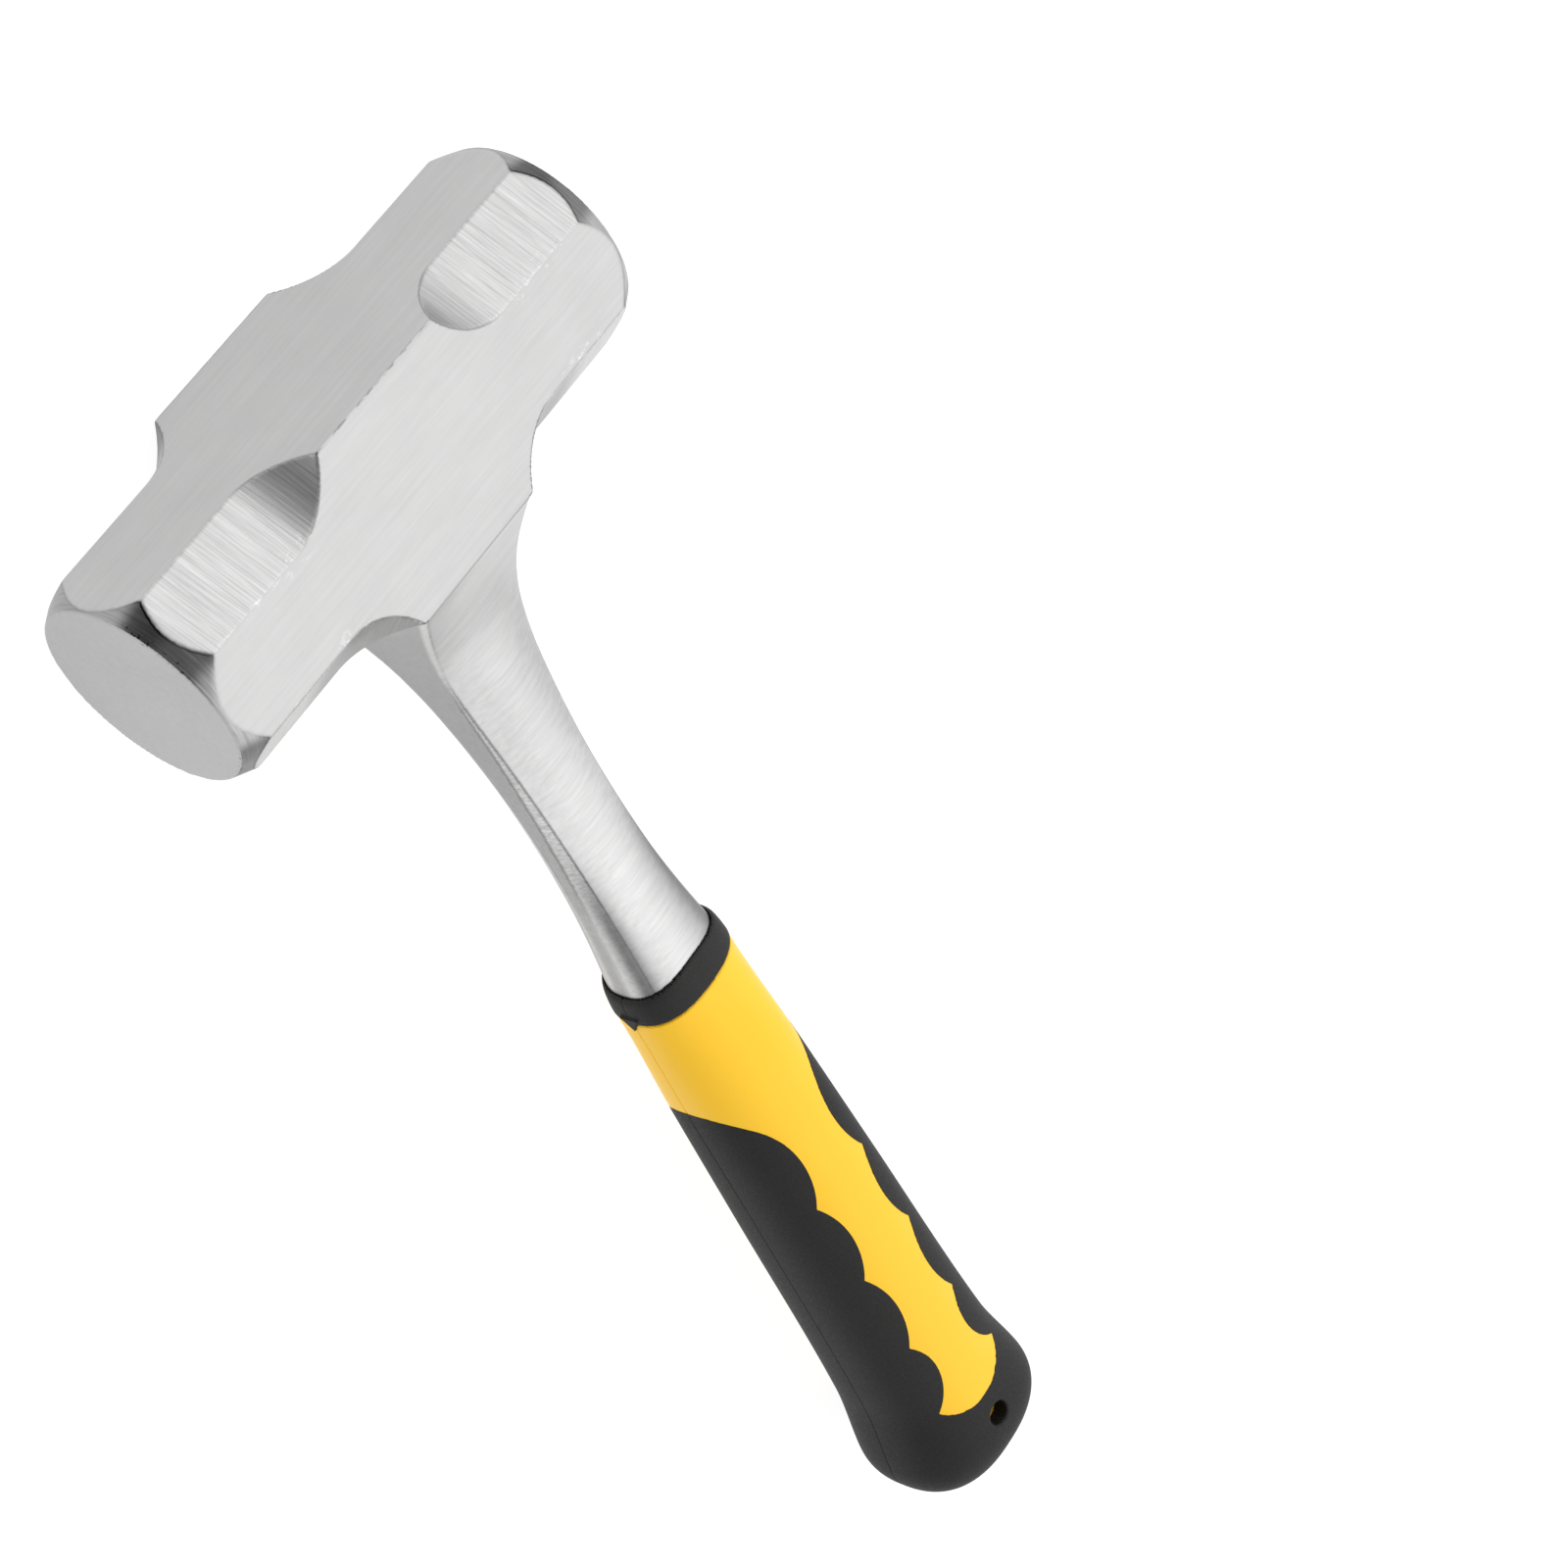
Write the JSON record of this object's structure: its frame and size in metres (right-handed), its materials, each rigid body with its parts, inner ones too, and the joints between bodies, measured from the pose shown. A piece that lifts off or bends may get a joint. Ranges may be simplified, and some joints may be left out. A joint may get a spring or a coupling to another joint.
{
  "type": "sledgehammer",
  "caption": "Short sledgehammer: forged steel head and shank in one piece, hard plastic grip core, soft scalloped overmould with a flared butt and a hang hole.",
  "frame": {"origin": "centre of the lower cheek, straight below the point where the handle's axis crosses the head's axis", "axes": "+X along the handle from the head to the butt, +Y along the head's axis, +Z out of the upper cheek"},
  "size_m": [0.3428, 0.121, 0.043],
  "materials": {
    "steel": "ground and brushed",
    "core_plastic": "smooth, slightly glossy",
    "soft_rubber": "soft matt"
  },
  "bodies": {
    "root": {"forging": "steel", "grip_core": "core_plastic", "grip_overmould": "soft_rubber", "collar_ring": "soft_rubber"}
  },
  "joints": []
}
